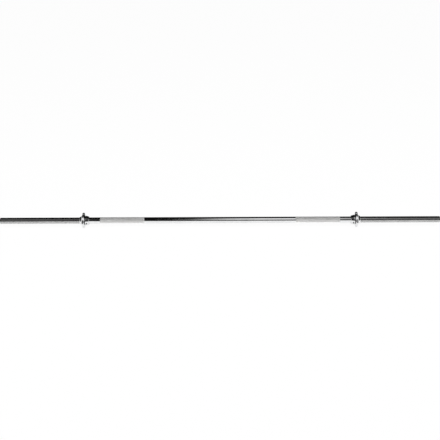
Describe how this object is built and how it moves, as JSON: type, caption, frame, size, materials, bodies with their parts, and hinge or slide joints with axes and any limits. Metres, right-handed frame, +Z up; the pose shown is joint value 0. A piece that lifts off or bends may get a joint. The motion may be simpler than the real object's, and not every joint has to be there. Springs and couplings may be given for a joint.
{
  "type": "barbell",
  "caption": "Straight steel barbell with knurled grips, fixed stop collars and threaded ends that carry lobed star nuts to clamp weight plates.",
  "frame": {"origin": "the middle of the bar, on its axis", "axes": "+X along the bar to the right-hand end, +Z up with each star nut standing on two lobes"},
  "size_m": [1.8288, 0.064, 0.0572],
  "materials": {
    "bar_chrome": "bright chrome plate on ground steel, satin where it is knurled or threaded",
    "collar_chrome": "bright chrome plate on turned steel",
    "nut_chrome": "bright chrome plate on a smooth casting",
    "black_steel": "black oxide",
    "black_rubber": "matt moulded rubber"
  },
  "bodies": {
    "bar": {"bar": "bar_chrome", "left_stop_collar": "collar_chrome", "right_stop_collar": "collar_chrome", "left_grub_screw": "black_steel", "right_grub_screw": "black_steel"},
    "left_ring": {"left_rubber_ring": "black_rubber"},
    "left_nut": {"left_star_nut": "nut_chrome"},
    "right_ring": {"right_rubber_ring": "black_rubber"},
    "right_nut": {"right_star_nut": "nut_chrome"}
  },
  "joints": [
    {"name": "left_travel", "type": "slide", "parent": "bar", "child": "left_ring", "axis": [-1, 0, 0], "range_m": [0, 0.3321]},
    {"name": "left_spin", "type": "hinge", "parent": "left_ring", "child": "left_nut", "pos_m": [-0.5616, 0, 0], "axis": [-1, 0, 0], "range_deg": [0, 29880]},
    {"name": "right_travel", "type": "slide", "parent": "bar", "child": "right_ring", "axis": [1, 0, 0], "range_m": [0, 0.3321]},
    {"name": "right_spin", "type": "hinge", "parent": "right_ring", "child": "right_nut", "pos_m": [0.5616, 0, 0], "axis": [1, 0, 0], "range_deg": [0, 29880]}
  ],
  "couplings": [
    {"joint": "left_travel", "follows": "left_spin", "m_per_rad": 0.00063662},
    {"joint": "right_travel", "follows": "right_spin", "m_per_rad": 0.00063662}
  ]
}
